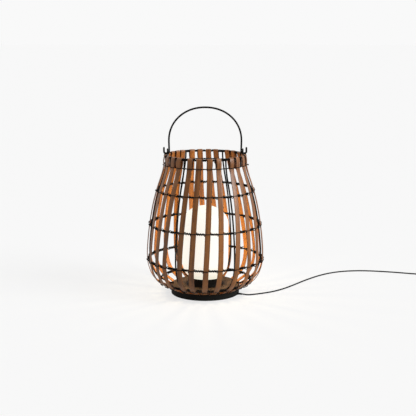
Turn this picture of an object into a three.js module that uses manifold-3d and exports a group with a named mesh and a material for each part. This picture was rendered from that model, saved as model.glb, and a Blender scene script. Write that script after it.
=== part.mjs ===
// A corded basket lantern: flat rattan slats tied round a black wire frame, with an opal
// diffuser on a weighted round base, a wire bail handle and a mains lead with its plug.
// Millimetres, +Z up. The origin is on the lamp's axis, at the surface that it stands on.
// An azimuth is in degrees from the front, -Y, turning towards the right, +X.
import * as THREE from "three";
import { mergeVertices } from "three/addons/utils/BufferGeometryUtils.js";
import Module from "manifold-3d";

const gap = 0.3; // between pieces that touch on the real lamp

// The basket's outer face, as radius and height, from the slats' lower ends up to the rim.
const basketProfile = [
  [107.4, 19.5], [119.3, 27], [141.2, 39], [157.3, 55], [168.6, 78], [175.6, 110],
  [174.6, 156], [168.2, 216], [157.8, 276], [145.2, 324], [131.8, 364], [124.6, 392],
];
const rim = { radius: 117, height: 420, wire: 2 };
const slat = { width: 16, thickness: 1.9, foldClear: 0.8, foldEnd: [118.2, 392.5] };
const hoopClear = 1; // the slats' flats come in a little between their bends
const hoopWire = 2.1; // wire radii
const rodWire = 2.2;
const lashingWire = 0.9;
const lashingClear = 1.2; // a ring's flats and the slats' flat faces both come in a little
const hoopHeights = { upper: 318.4, middle: 215.2, lower: 108.2, bottom: 38 };
const tieHeight = 393;

// Where each slat stands, round the basket: its azimuth at the rim and at the base.
const slatAzimuths = [
  [-21, -26], [-8.3, -14.4], [6.5, -0.8], [18.8, 13.2],
  [39.2, 29.5], [51, 45.3], [66.5, 59], [82.2, 77],
  [103, 91.5], [116.5, 101.5], [132.5, 115.5], [144.6, 130],
  [163.8, 151.5], [175.5, 165], [187.9, 178.2], [200.3, 189.5],
  [216.9, 210.5], [226.5, 225.6], [238.5, 243.5], [251.5, 256.5],
  [280, 276], [296.5, 292], [310.2, 305.5], [322.3, 316.2],
];
// The rods likewise. The two on the X axis stop below the bail's eyes.
const rodAzimuths = [
  [31.8, 30.3], [90, 90], [152, 150.5], [211.6, 213.5], [270, 270], [328.2, 329.9],
];
const rodFoot = [[97, 30.5], [110, 31.2]]; // radius and height, on the base and off its edge
const rodHeights = [38, 47, 62, 85, 115, 165, 220, 275, 325, 365, 395];
const rodTop = { aboveRim: 1, belowEye: 5 };

const base = { radius: 103, bottom: 1.5, top: 28, wall: 1.8, bevelRadius: 1.4, bevelHeight: 2 };
const felt = { radius: 98, top: 1.5 };
const cover = { radius: 100.8, bottom: 1.8, top: 3 };
const ballast = { radius: 62, bore: 20, bottom: 3.3, top: 12 };
const band = { radius: 103.3, thickness: 1.4, bottom: 18.6, top: 24.4 };
const nipple = { radius: 5, bore: 3.3, nut: 9, bottom: 21, top: 44 };
const collar = { radius: 52.5, wall: 2.2, floor: 2, top: 52 };
const holder = { radius: 19, neck: 13, neckTop: 42, shoulder: 50, mouth: 14.2, top: 78 };
const bulb = {
  contact: 5, cap: 13.2, capBottom: 48.5, capShoulder: 53, capTop: 76,
  neck: 13, throat: 16, throatTop: 88, globe: 30, top: 157,
};
const diffuser = { radius: 70, wall: 2.6, shoulder: 212, domeHeight: 56.5 };
const diffuserSide = [ // radius and height, from the neck in the collar up to the straight side
  [49.5, 31], [49.5, 52.5], [53, 58], [61, 67], [67, 82], [69.5, 105], [diffuser.radius, 150],
];

const pivot = { height: 426.5, leg: 106.8, hook: 122.2, bend: 4.6, hookTop: 444.6 };
const handle = { wire: 2.2, halfWidth: 107.4, legTop: 438, archHeight: 464, rise: 98.2 };
const eye = {
  wire: 1.7, halfGap: 4.4, foot: 114.6, top: 111.8, bend: 426, archHeight: 434,
  sleeve: 4.1, sleeveHalf: 6.2,
};

// The lead leaves the base low on its right, slightly to the front.
const exit = {
  azimuth: 71, height: 4.8, innerEnd: 93, outerEnd: 117, radius: 2.9, tip: 2.5, collar: 3,
  holeFrom: 90, holeTo: 115,
};
const cordRadius = 2.1;
const innerLeadRadius = 1.5;
const overBallast = ballast.top + gap + innerLeadRadius;
const innerLeadRoute = [ // distance from the axis and height, from the relief to the lampholder
  [exit.innerEnd - gap, exit.height], [87, 6.2], [80, 9.6], [73, 13], [66, overBallast],
  [40, overBallast], [14, overBallast], [8, overBallast + 0.6], [4, overBallast + 2.6],
  [1.2, overBallast + 6], [0, overBallast + 10], [0, 46.4],
];
const floorCord = cordRadius; // height of the lead's centre where it lies on the surface
const leadRoute = [
  [110.9, -38.2, 4.8], [117.5, -39.8, 4.3], [125.5, -39.4, 3.1], [134.5, -36.6, 2.3],
  [144.5, -32.7, floorCord], [155, -28.3, floorCord], [166, -23.4, floorCord],
  [179, -17, floorCord], [197, -6.5, floorCord], [217, 8.5, floorCord], [240, 31, floorCord],
  [264, 60, floorCord], [290, 95, floorCord], [317, 131.5, floorCord], [344, 164.5, floorCord],
  [371, 193.5, floorCord], [400, 218.5, floorCord], [432, 238, floorCord],
  [468, 250.5, floorCord], [508, 255.5, floorCord], [548, 252.5, floorCord],
  [588, 244, floorCord], [626, 233.5, floorCord], [660, 222, floorCord],
  [685, 212.7, 2.4], [708.5, 203.2, 3],
];
const coil = { x: 736.8, y: 225.7, inner: 15.8, outer: 34.5, bottom: 0.9, top: 9.7 };
const tie = { azimuth: 200, width: 7, thickness: 0.6, slack: 0.8, proud: 0.25 };
const plug = {
  x: 769, start: 245.2, relief: 20, reliefWide: 4, shoulder: 14, nose: 5,
  length: 34, width: 35, height: 13, centre: 7.3,
};
const pins = { radius: 2, spacing: 19, length: 19 };

const paint = (color, roughness, metalness) =>
  new THREE.MeshStandardMaterial({ color, roughness, metalness });
const materials = {
  slat: paint(0x7a4f2e, 0.7, 0),
  frame: paint(0x161412, 0.45, 0.6),
  base: paint(0x1d1c1a, 0.6, 0.4),
  iron: paint(0x4a4a4a, 0.7, 0.8),
  felt: paint(0x101010, 1, 0),
  brass: paint(0xb08d3c, 0.35, 1),
  holder: paint(0x111111, 0.5, 0),
  cap: paint(0xc8c8c8, 0.3, 1),
  bulb: paint(0xfff6e0, 0.2, 0),
  opal: paint(0xfffff0, 0.45, 0),
  lead: paint(0x1c1c1c, 0.6, 0),
  plug: paint(0x181818, 0.5, 0),
};

const object = new THREE.Group();
function add(name, geometry, material) {
  const mesh = new THREE.Mesh(geometry, material);
  mesh.name = name;
  object.add(mesh);
}

// A profile of [radius, height] points turned about the Z axis. The first turned vertex
// faces the front, so that every tenth degree holds one where there are 36 segments.
function turned(profile, segments = 36) {
  const points = profile.map(([radius, height]) => new THREE.Vector2(radius, height));
  return new THREE.LatheGeometry(points, segments).rotateX(Math.PI / 2);
}

const closed = (profile) => [...profile, profile[0]];

// A wire bent into a ring about the Z axis.
function wireRing(radius, height, wire, sides = 6) {
  const profile = [];
  for (let i = 0; i <= sides; i += 1) {
    const angle = (2 * Math.PI * (i % sides)) / sides;
    profile.push([radius + wire * Math.cos(angle), height + wire * Math.sin(angle)]);
  }
  return turned(profile);
}

// A curve that visits its points at even parameter steps, so that a sweep along it has one
// section at each point, close together in a bend and far apart on a straight.
class Stations extends THREE.Curve {
  constructor(points) {
    super();
    this.points = points;
  }
  getPoint(t, target = new THREE.Vector3()) {
    const last = this.points.length - 1;
    const index = Math.min(Math.floor(t * last + 1e-6), last - 1);
    return target.lerpVectors(this.points[index], this.points[index + 1], t * last - index);
  }
  getPointAt(t, target) {
    return this.getPoint(t, target);
  }
  getTangentAt(t, target = new THREE.Vector3()) {
    const last = this.points.length - 1;
    const index = Math.round(t * last);
    const before = this.points[Math.max(index - 1, 0)];
    const after = this.points[Math.min(index + 1, last)];
    return target.subVectors(after, before).normalize();
  }
}

// A round wire or cord through a list of points.
function wireAlong(points, radius, sides = 6) {
  const section = new THREE.Shape();
  for (let i = 0; i < sides; i += 1) {
    const angle = (2 * Math.PI * (i + 0.5)) / sides;
    const [x, y] = [radius * Math.cos(angle), radius * Math.sin(angle)];
    if (i === 0) section.moveTo(x, y);
    else section.lineTo(x, y);
  }
  section.closePath();
  return new THREE.ExtrudeGeometry(section, {
    steps: points.length - 1,
    bevelEnabled: false,
    extrudePath: new Stations(points),
  });
}

// Points on an arc in the XZ plane, angles in degrees from +X towards +Z.
function arc(x, z, radiusX, radiusZ, from, to, count) {
  const points = [];
  for (let i = 0; i <= count; i += 1) {
    const angle = THREE.MathUtils.degToRad(from + ((to - from) * i) / count);
    points.push(new THREE.Vector3(x + radiusX * Math.cos(angle), 0, z + radiusZ * Math.sin(angle)));
  }
  return points;
}

const wasm = await Module();
wasm.setup();

function toSolid(geometry) {
  const bare = geometry.clone();
  bare.deleteAttribute("normal");
  bare.deleteAttribute("uv");
  const merged = mergeVertices(bare, 1e-4);
  return new wasm.Manifold(new wasm.Mesh({
    numProp: 3,
    vertProperties: new Float32Array(merged.attributes.position.array),
    triVerts: new Uint32Array(merged.index.array),
  }));
}

function fromSolid(solid) {
  const mesh = solid.getMesh();
  const geometry = new THREE.BufferGeometry();
  geometry.setAttribute("position", new THREE.BufferAttribute(mesh.vertProperties, 3));
  geometry.setIndex(new THREE.BufferAttribute(mesh.triVerts, 1));
  return geometry.toNonIndexed();
}

const joined = (a, b) => fromSolid(toSolid(a).add(toSolid(b)));
const cut = (a, b) => fromSolid(toSolid(a).subtract(toSolid(b)));

// The basket's outer face as a smooth curve of radius and height.
const basketCurve = new THREE.SplineCurve(
  [...basketProfile, [rim.radius + rim.wire + slat.foldClear + slat.thickness, rim.height]]
    .map(([radius, height]) => new THREE.Vector2(radius, height)),
);

// The point of the basket's face at a height, moved out from the face by some offset.
function onBasket(height, offset) {
  let [low, high] = [0, 1];
  for (let i = 0; i < 40; i += 1) {
    const middle = (low + high) / 2;
    if (basketCurve.getPoint(middle).y < height) low = middle;
    else high = middle;
  }
  return offBasket(low, offset);
}

function offBasket(t, offset) {
  const point = basketCurve.getPoint(t);
  const tangent = basketCurve.getTangent(Math.min(Math.max(t, 0.001), 0.999));
  return new THREE.Vector2(point.x + tangent.y * offset, point.y - tangent.x * offset);
}

// A slat's side view: up the outside, over the rim wire and down inside to the tie wire.
function slatOutline() {
  const outer = [];
  const inner = [];
  const steps = 13;
  for (let i = 0; i <= steps; i += 1) {
    outer.push(offBasket(i / steps, 0));
    inner.push(offBasket(i / steps, -slat.thickness));
  }
  const near = rim.wire + slat.foldClear;
  for (const degrees of [45, 90, 135, 180]) {
    const angle = THREE.MathUtils.degToRad(degrees);
    const direction = new THREE.Vector2(Math.cos(angle), Math.sin(angle));
    const centre = new THREE.Vector2(rim.radius, rim.height);
    outer.push(centre.clone().addScaledVector(direction, near + slat.thickness));
    inner.push(centre.clone().addScaledVector(direction, near));
  }
  const [endRadius, endHeight] = slat.foldEnd;
  outer.push(new THREE.Vector2(endRadius - slat.thickness, endHeight));
  inner.push(new THREE.Vector2(endRadius, endHeight));
  return [...outer, ...inner.reverse()];
}

// The azimuth, in radians, of a slat or rod at a height: it leans evenly from base to rim.
function azimuthAt([rimAzimuth, baseAzimuth], height) {
  const bottom = basketProfile[0][1];
  const share = THREE.MathUtils.clamp((height - bottom) / (rim.height - bottom), 0, 1);
  return THREE.MathUtils.degToRad(THREE.MathUtils.lerp(baseAzimuth, rimAzimuth, share));
}

// The flat strip is extruded across its width, then turned to its place with its lean.
function slatGeometry(azimuths) {
  const geometry = new THREE.ExtrudeGeometry(new THREE.Shape(slatOutline()), {
    depth: slat.width,
    bevelEnabled: false,
  });
  const position = geometry.attributes.position;
  for (let i = 0; i < position.count; i += 1) {
    const [radius, height] = [position.getX(i), position.getY(i)];
    const across = slat.width / 2 - position.getZ(i);
    const azimuth = azimuthAt(azimuths, height);
    position.setXYZ(
      i,
      radius * Math.sin(azimuth) + across * Math.cos(azimuth),
      -radius * Math.cos(azimuth) + across * Math.sin(azimuth),
      height,
    );
  }
  return geometry;
}

function rodPoints(azimuths) {
  const inside = -(slat.thickness + hoopClear + gap + 2 * hoopWire + rodWire);
  const atEye = azimuths[0] % 180 === 90;
  const path = [...rodFoot];
  for (const height of rodHeights) {
    const point = onBasket(height, inside);
    path.push([point.x, point.y]);
  }
  const top = rim.height + (atEye ? -rodTop.belowEye : rodTop.aboveRim);
  path.push([rim.radius - rim.wire - gap - rodWire, top]);
  return path.map(([radius, height]) => {
    const azimuth = azimuthAt(azimuths, height);
    return new THREE.Vector3(radius * Math.sin(azimuth), -radius * Math.cos(azimuth), height);
  });
}

// Hoops run between the rods and the slats. Each lashing ties the slats to its hoop from outside.
function addBasket() {
  slatAzimuths.forEach((azimuths, i) => {
    add(`slat_${String(i + 1).padStart(2, "0")}`, slatGeometry(azimuths), materials.slat);
  });
  rodAzimuths.forEach((azimuths, i) => {
    add(`frame_rod_${i + 1}`, wireAlong(rodPoints(azimuths), rodWire), materials.frame);
  });
  add("rim_ring", wireRing(rim.radius, rim.height, rim.wire), materials.frame);
  for (const [name, height] of Object.entries(hoopHeights)) {
    const hoop = onBasket(height, -(slat.thickness + hoopClear + hoopWire));
    add(`hoop_${name}`, wireRing(hoop.x, hoop.y, hoopWire), materials.frame);
  }
  for (const [name, height] of Object.entries({ ...hoopHeights, rim: tieHeight })) {
    const lashing = onBasket(height, lashingClear + lashingWire);
    add(`lashing_${name}`, wireRing(lashing.x, lashing.y, lashingWire, 4), materials.frame);
  }
  const [inner, outer] = [band.radius, band.radius + band.thickness];
  add("base_band", turned(closed([
    [inner, band.bottom], [outer, band.bottom], [outer, band.top], [inner, band.top],
  ])), materials.slat);
}

// The bail: an arch, two legs that draw in a little, and an upturned hook through each eye.
function handlePoints() {
  const { height, leg, hook, bend, hookTop } = pivot;
  const right = [
    new THREE.Vector3(hook, 0, hookTop),
    ...arc(hook - bend, height + bend, bend, bend, 0, -90, 3),
    ...arc(leg + bend, height + bend, bend, bend, -90, -180, 3),
    new THREE.Vector3(leg, 0, handle.legTop),
    ...arc(0, handle.archHeight, handle.halfWidth, handle.rise, 0, 84, 10),
  ];
  const left = right.map((point) => new THREE.Vector3(-point.x, 0, point.z)).reverse();
  return [...right, new THREE.Vector3(0, 0, handle.archHeight + handle.rise), ...left];
}

// An eye is a tall wire staple, leaning in, whose ends are wound round the rim wire in a sleeve.
function eyeGeometry() {
  const leg = (side) => [
    new THREE.Vector3(eye.foot, side * eye.halfGap, rim.height),
    new THREE.Vector3(eye.top, side * eye.halfGap, eye.bend),
  ];
  const points = leg(-1);
  for (const degrees of [180, 150, 120, 90, 60, 30, 0]) {
    const angle = THREE.MathUtils.degToRad(degrees);
    points.push(new THREE.Vector3(
      eye.top,
      eye.halfGap * Math.cos(angle),
      eye.archHeight + eye.halfGap * Math.sin(angle),
    ));
  }
  points.push(...leg(1).reverse());
  const staple = wireAlong(points, eye.wire, 6);
  const sleeve = new THREE.CylinderGeometry(eye.sleeve, eye.sleeve, 2 * eye.sleeveHalf, 12)
    .translate(rim.radius, 0, rim.height);
  const bore = wireRing(rim.radius, rim.height, rim.wire + gap, 8);
  return cut(joined(sleeve, staple), bore);
}

function addHandle() {
  add("handle", wireAlong(handlePoints(), handle.wire, 8), materials.frame);
  const right = eyeGeometry();
  add("handle_eye_right", right, materials.frame);
  add("handle_eye_left", right.clone().rotateZ(Math.PI), materials.frame);
}

// A direction in plan, from the axis, at an azimuth.
function outward(azimuthDegrees) {
  const azimuth = THREE.MathUtils.degToRad(azimuthDegrees);
  return new THREE.Vector3(Math.sin(azimuth), -Math.cos(azimuth), 0);
}

// A turned piece laid along the lead's exit, its profile in radius and distance from the axis.
function alongExit(profile, segments) {
  return turned(profile, segments)
    .rotateY(Math.PI / 2)
    .rotateZ(THREE.MathUtils.degToRad(exit.azimuth - 90))
    .translate(0, 0, exit.height);
}

function addBase() {
  const { radius, bottom, top, wall } = base;
  const shell = turned(closed([
    [nipple.radius + gap, top], [nipple.radius + gap, top - wall], [radius - wall, top - wall],
    [radius - wall, bottom], [radius, bottom], [radius, top - base.bevelHeight],
    [radius - base.bevelRadius, top],
  ]));
  const hole = exit.radius + gap;
  const leadHole = alongExit([
    [0, exit.holeFrom], [hole, exit.holeFrom], [hole, exit.holeTo], [0, exit.holeTo],
  ], 12);
  add("base_housing", cut(shell, leadHole), materials.base);
  add("felt_pad", turned([
    [0, 0], [felt.radius, 0], [felt.radius, felt.top], [0, felt.top],
  ]), materials.felt);
  const plate = turned([
    [0, cover.bottom], [cover.radius, cover.bottom], [cover.radius, cover.top], [0, cover.top],
  ]);
  add("bottom_cover", cut(plate, leadHole), materials.base);
  add("ballast_weight", turned(closed([
    [ballast.bore, ballast.bottom], [ballast.radius, ballast.bottom],
    [ballast.radius, ballast.top], [ballast.bore, ballast.top],
  ]), 24), materials.iron);
  add("strain_relief", alongExit([
    [0, exit.innerEnd], [exit.radius, exit.innerEnd], [exit.radius, radius + exit.collar],
    [exit.tip, exit.outerEnd - gap], [0, exit.outerEnd - gap],
  ], 12), materials.lead);
}

// The lead inside the base: from the strain relief, over the ballast, to the lampholder.
function addInnerLead() {
  const direction = outward(exit.azimuth);
  const points = innerLeadRoute.map(([distance, height]) =>
    new THREE.Vector3(direction.x * distance, direction.y * distance, height));
  add("inner_lead", wireAlong(points, innerLeadRadius), materials.lead);
}

function addLampFittings() {
  const { radius: pipe, bore, nut, bottom, top } = nipple;
  const nutTop = base.top - base.wall - gap;
  add("threaded_nipple", turned(closed([
    [bore, bottom], [nut, bottom], [nut, nutTop], [pipe, nutTop], [pipe, top], [bore, top],
  ]), 12), materials.brass);

  const seat = base.top + gap;
  const floor = seat + collar.floor;
  add("diffuser_collar", turned(closed([
    [pipe + gap, seat], [collar.radius, seat], [collar.radius, collar.top],
    [collar.radius - collar.wall, collar.top], [collar.radius - collar.wall, floor],
    [pipe + gap, floor],
  ])), materials.base);

  const foot = floor + gap;
  const capSeat = bulb.capBottom - gap;
  add("lampholder", turned(closed([
    [pipe + gap, foot], [holder.neck, foot], [holder.neck, holder.neckTop],
    [holder.radius, holder.shoulder],
    [holder.radius, holder.top], [holder.mouth, holder.top], [holder.mouth, capSeat],
    [pipe + gap, capSeat],
  ]), 24), materials.holder);
  add("bulb_cap", turned([
    [0, bulb.capBottom], [bulb.contact, bulb.capBottom], [bulb.cap, bulb.capShoulder],
    [bulb.cap, bulb.capTop], [0, bulb.capTop],
  ], 20), materials.cap);

  const globeCentre = bulb.top - bulb.globe;
  const globeFoot = bulb.capTop + gap;
  const globe = [[0, globeFoot], [bulb.neck, globeFoot], [bulb.throat, bulb.throatTop]];
  for (const degrees of [-45, -20, 5, 30, 55, 75]) {
    const angle = THREE.MathUtils.degToRad(degrees);
    globe.push([bulb.globe * Math.cos(angle), globeCentre + bulb.globe * Math.sin(angle)]);
  }
  add("bulb_globe", turned([...globe, [0, bulb.top]], 20), materials.bulb);
}

// The opal diffuser: an open neck in the collar, a swelling body and an elliptical dome.
function diffuserWall(inset) {
  const wall = diffuserSide.map(([radius, height]) => [radius - inset, height]);
  const [a, b] = [diffuser.radius - inset, diffuser.domeHeight - inset];
  for (const degrees of [0, 20, 40, 57, 72]) {
    const angle = THREE.MathUtils.degToRad(degrees);
    wall.push([a * Math.cos(angle), diffuser.shoulder + b * Math.sin(angle)]);
  }
  return [...wall, [0, diffuser.shoulder + b]];
}

function addDiffuser() {
  const profile = [...diffuserWall(0).reverse(), ...diffuserWall(diffuser.wall)];
  add("diffuser", turned(profile.reverse(), 24), materials.opal);
}

// A closed band of the coil's cross-section, standing across it.
function tieGeometry() {
  const rectangle = (inner, outer, bottom, top) => [
    [inner, bottom], [outer, bottom], [outer, top], [inner, top],
  ].map(([x, y]) => new THREE.Vector2(x, y));
  const t = tie.thickness;
  const inner = coil.inner - tie.slack; // the coil curves away inside the straight band
  const [outer, bottom, top] = [coil.outer + gap, coil.bottom - tie.proud, coil.top + gap];
  const shape = new THREE.Shape(rectangle(inner - t, outer + t, bottom - t, top + t));
  shape.holes.push(new THREE.Path(rectangle(inner, outer, bottom, top)));
  return new THREE.ExtrudeGeometry(shape, { depth: tie.width, bevelEnabled: false })
    .translate(0, 0, -tie.width / 2)
    .rotateX(Math.PI / 2)
    .rotateZ(THREE.MathUtils.degToRad(tie.azimuth))
    .translate(coil.x, coil.y, 0);
}

// A flat two-pin plug, its own tapered relief towards the coil.
function plugGeometry() {
  const [half, wide, nose] = [plug.width / 2, plug.reliefWide, plug.nose];
  const outline = new THREE.Shape([
    [-wide, 0], [wide, 0], [half, plug.shoulder], [half, plug.length - nose],
    [half - nose, plug.length], [nose - half, plug.length],
    [-half, plug.length - nose], [-half, plug.shoulder],
  ].map(([x, y]) => new THREE.Vector2(x, y)));
  const body = new THREE.ExtrudeGeometry(outline, { depth: plug.height, bevelEnabled: false })
    .translate(0, 0, -plug.height / 2);
  const relief = new THREE.CylinderGeometry(wide, cordRadius + 0.7, plug.relief + 1, 10)
    .translate(0, (1 - plug.relief) / 2, 0);
  let solid = joined(body, relief);
  for (const side of [-1, 1]) {
    const pin = new THREE.CylinderGeometry(pins.radius, pins.radius, pins.length + 1, 8)
      .translate((side * pins.spacing) / 2, plug.length + (pins.length - 1) / 2, 0);
    solid = joined(solid, pin);
  }
  return solid.translate(plug.x, plug.start + plug.relief, plug.centre);
}

function addLead() {
  const curve = new THREE.CatmullRomCurve3(
    leadRoute.map(([x, y, z]) => new THREE.Vector3(x, y, z)), false, "centripetal");
  const lead = wireAlong(curve.getPoints(2 * (leadRoute.length - 1)), cordRadius, 8);
  add("cord_lead", lead, materials.lead);
  add("cord_coil", turned(closed([
    [coil.inner, coil.bottom], [coil.outer, coil.bottom], [coil.outer, coil.top], [coil.inner, coil.top],
  ]), 32).translate(coil.x, coil.y, 0), materials.lead);
  add("coil_tie", tieGeometry(), materials.holder);
  add("plug", plugGeometry(), materials.plug);
}

addBasket();
addHandle();
addBase();
addInnerLead();
addLampFittings();
addDiffuser();
addLead();

export default object;
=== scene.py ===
import math

import bpy
import numpy as np
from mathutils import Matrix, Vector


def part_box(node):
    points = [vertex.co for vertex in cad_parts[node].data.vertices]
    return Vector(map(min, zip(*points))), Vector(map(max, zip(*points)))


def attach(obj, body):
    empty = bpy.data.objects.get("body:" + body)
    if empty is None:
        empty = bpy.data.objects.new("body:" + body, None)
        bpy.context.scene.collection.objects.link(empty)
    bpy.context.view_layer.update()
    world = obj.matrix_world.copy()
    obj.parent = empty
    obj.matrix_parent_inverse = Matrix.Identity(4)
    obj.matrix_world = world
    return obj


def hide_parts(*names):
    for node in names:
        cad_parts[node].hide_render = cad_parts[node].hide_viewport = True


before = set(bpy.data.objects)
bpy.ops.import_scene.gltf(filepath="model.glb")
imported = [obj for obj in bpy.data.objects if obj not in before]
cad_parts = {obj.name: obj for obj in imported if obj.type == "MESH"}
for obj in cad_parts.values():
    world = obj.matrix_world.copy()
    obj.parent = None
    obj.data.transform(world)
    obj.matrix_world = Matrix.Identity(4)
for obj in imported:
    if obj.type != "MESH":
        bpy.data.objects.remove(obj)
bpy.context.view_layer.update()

lantern = "lantern"
bail = "bail"
mm = 0.001
print("frame loaded:", len(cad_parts), "nodes")


# A share from nothing to one, eased so that it leaves and arrives level.
def eased(share):
    share = np.clip(share, 0, 1)
    return share * share * (3 - 2 * share)


# How far along a line each of its points lies.
def lengthAlong(line):
    return np.concatenate([[0], np.cumsum(np.linalg.norm(np.diff(line, axis=0), axis=1))])


# Camera and cord come first.

camera = {"place": (0.0084, -2.793, 0.7785), "tilt": 79.5, "lens": 81.95, "sensor": 36.0}


def makeCamera():
    data = bpy.data.cameras.new("viewCamera")
    data.lens = camera["lens"]
    data.sensor_width = camera["sensor"]
    data.clip_end = 200
    holder = bpy.data.objects.new("viewCamera", data)
    holder.location = camera["place"]
    holder.rotation_euler = (math.radians(camera["tilt"]), 0, 0)
    bpy.context.collection.objects.link(holder)
    bpy.context.scene.camera = holder


# A smooth curve through points: between two of them each coordinate is the cubic that leaves and
# arrives along the chord of the neighbours. Knots are spaced by the chord's length to some power,
# nothing for an even spacing and a half for the kind that never loops.
def smoothLine(points, perSpan, power=0.0):
    p = np.asarray(points, float)
    ends = np.vstack([2 * p[0] - p[1], p, 2 * p[-1] - p[-2]])
    if power == 0:
        ends[0], ends[-1] = p[0], p[-1]
    gaps = np.maximum(np.linalg.norm(np.diff(ends, axis=0), axis=1), 1e-9) ** power
    a, b, c, d = ends[:-3], ends[1:-2], ends[2:-1], ends[3:]
    g0, g1, g2 = (gaps[k:len(gaps) - 2 + k, None] for k in range(3))
    if power == 0:
        m1, m2 = (c - a) / 2, (d - b) / 2
    else:
        m1 = ((b - a) / g0 - (c - a) / (g0 + g1) + (c - b) / g1) * g1
        m2 = ((c - b) / g1 - (d - b) / (g1 + g2) + (d - c) / g2) * g1
    t = (np.arange(perSpan) / perSpan)[None, :, None]
    b, c, m1, m2 = b[:, None], c[:, None], m1[:, None], m2[:, None]
    line = ((2 * t**3 - 3 * t**2 + 1) * b + (t**3 - 2 * t**2 + t) * m1
            + (3 * t**2 - 2 * t**3) * c + (t**3 - t**2) * m2)
    return np.vstack([line.reshape(-1, p.shape[1]), p[-1:]])


cord = {
    "radius": 2.1 * mm,
    "exit": (0.1106, -0.0381, 0.0048),
    "length": 1.80,
    "coilCentre": (0.7368, 0.2257),
    "coilMiddle": 25.2 * mm,     # radius at the middle of the turns, 12 diameters across
    "turnPitch": 4.4 * mm,
    "layers": (3.0 * mm, 7.3 * mm),
    "turns": 6.31,
    "climb": 0.34,               # turns that the step between the layers takes
    "startAngle": -111.7,
    "inPlug": 12 * mm,
}
cordRoute = [                    # where it isn't coiled, in metres
    (0.1109, -0.0382, 0.0048), (0.1175, -0.0398, 0.0043), (0.1255, -0.0394, 0.0031),
    (0.1345, -0.0366, 0.0023), (0.1445, -0.0327, 0.0021), (0.155, -0.0283, 0.0021),
    (0.166, -0.0234, 0.0021), (0.179, -0.017, 0.0021), (0.197, -0.0065, 0.0021),
    (0.217, 0.0085, 0.0021), (0.240, 0.031, 0.0021), (0.264, 0.060, 0.0021),
    (0.290, 0.095, 0.0021), (0.317, 0.1315, 0.0021), (0.344, 0.1645, 0.0021),
    (0.371, 0.1935, 0.0021), (0.400, 0.2185, 0.0021), (0.432, 0.238, 0.0021),
    (0.468, 0.2505, 0.0021), (0.508, 0.2555, 0.0021), (0.548, 0.2525, 0.0021),
    (0.588, 0.244, 0.0021), (0.626, 0.2335, 0.0021), (0.660, 0.222, 0.0021),
    (0.685, 0.2127, 0.0024), (0.7085, 0.2032, 0.0030),
]


# The coil spirals inwards on the lower layer, climbs over a third of a turn at the inside and
# spirals outwards on the upper layer, its radius linear in the angle turned.
def coilLine():
    count = int(cord["turns"] * 48)
    turned = np.linspace(0, cord["turns"], count)
    half = cord["turns"] / 2
    radius = cord["coilMiddle"] + cord["turnPitch"] * (np.abs(turned - half) - half / 2)
    climb = eased((turned - half) / cord["climb"] + 0.5)
    low, high = cord["layers"]
    angle = np.radians(cord["startAngle"]) + 2 * math.pi * turned
    return np.stack([
        cord["coilCentre"][0] + radius * np.cos(angle),
        cord["coilCentre"][1] + radius * np.sin(angle),
        low + (high - low) * climb,
    ], axis=1)


def makeCord():
    line = smoothLine(cordRoute, 12, 0.5)
    coil = coilLine()
    lastSpan = np.linspace(0, 1, 8)[1:-1, None]
    lead = line[-1] + (coil[0] - line[-1]) * lastSpan
    plugLow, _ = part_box("plug")
    away = coil[-1] - coil[-2]
    away = away / np.linalg.norm(away)
    into = (plugLow[1] + cord["inPlug"] - coil[-1][1]) / away[1]
    tail = coil[-1] + away * np.linspace(0, into, 8)[1:, None]
    points = np.vstack([line, lead, coil, tail])
    data = bpy.data.curves.new("mainsLead", "CURVE")
    data.dimensions = "3D"
    data.bevel_depth = cord["radius"]
    data.bevel_resolution = 4
    data.use_fill_caps = True
    spline = data.splines.new("POLY")
    spline.points.add(len(points) - 1)
    spline.points.foreach_set("co", np.hstack([points, np.ones((len(points), 1))]).ravel())
    spline.use_smooth = True
    piece = bpy.data.objects.new("mainsLead", data)
    bpy.context.collection.objects.link(piece)
    total = np.linalg.norm(np.diff(points, axis=0), axis=1).sum()
    print("cord: centre line", round(float(total), 3), "m")
    return piece


makeCamera()
mainsLead = makeCord()


# Mesh building.

# A surface from a grid of points, rows along a path and columns round a section. Each cell is a
# quad; the columns always close on each other. A path that doesn't close gets a pole at each end.
def surface(name, grid, closedPath=False, poles=None, uvScale=(1.0, 1.0)):
    rows, columns = grid.shape[:2]
    verts = grid.reshape(-1, 3)
    rowSpans = rows if closedPath else rows - 1
    i, j = np.meshgrid(np.arange(rowSpans), np.arange(columns), indexing="ij")
    i2, j2 = (i + 1) % rows, (j + 1) % columns
    quads = np.stack([i * columns + j, i2 * columns + j, i2 * columns + j2, i * columns + j2], -1)
    along = np.stack([i, i + 1, i + 1, i], -1) / max(rowSpans, 1)
    section = np.stack([j, j, j + 1, j + 1], -1) / columns
    loops = [quads.reshape(-1)]
    uvs = [np.stack([section.reshape(-1) * uvScale[0], along.reshape(-1) * uvScale[1]], -1)]
    totals = [np.full(quads.shape[0] * quads.shape[1], 4)]
    if not closedPath:
        if poles is None:
            poles = (grid[0].mean(0), grid[-1].mean(0))
        verts = np.vstack([verts, poles[0], poles[1]])
        ring = np.arange(columns)
        following = (ring + 1) % columns
        first = np.stack([np.full(columns, rows * columns), ring, following], -1)
        base = (rows - 1) * columns
        last = np.stack([np.full(columns, rows * columns + 1), base + following, base + ring], -1)
        for fan, v in ((first, 0.0), (last, 1.0)):
            loops.append(fan.reshape(-1))
            sector = np.stack([ring + 0.5, ring, ring + 1], -1) / columns
            uvs.append(np.stack([sector.reshape(-1) * uvScale[0],
                                 np.full(columns * 3, v * uvScale[1])], -1))
            totals.append(np.full(columns, 3))
    return meshObject(name, verts, np.concatenate(loops), np.concatenate(totals),
                      np.concatenate(uvs))


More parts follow.
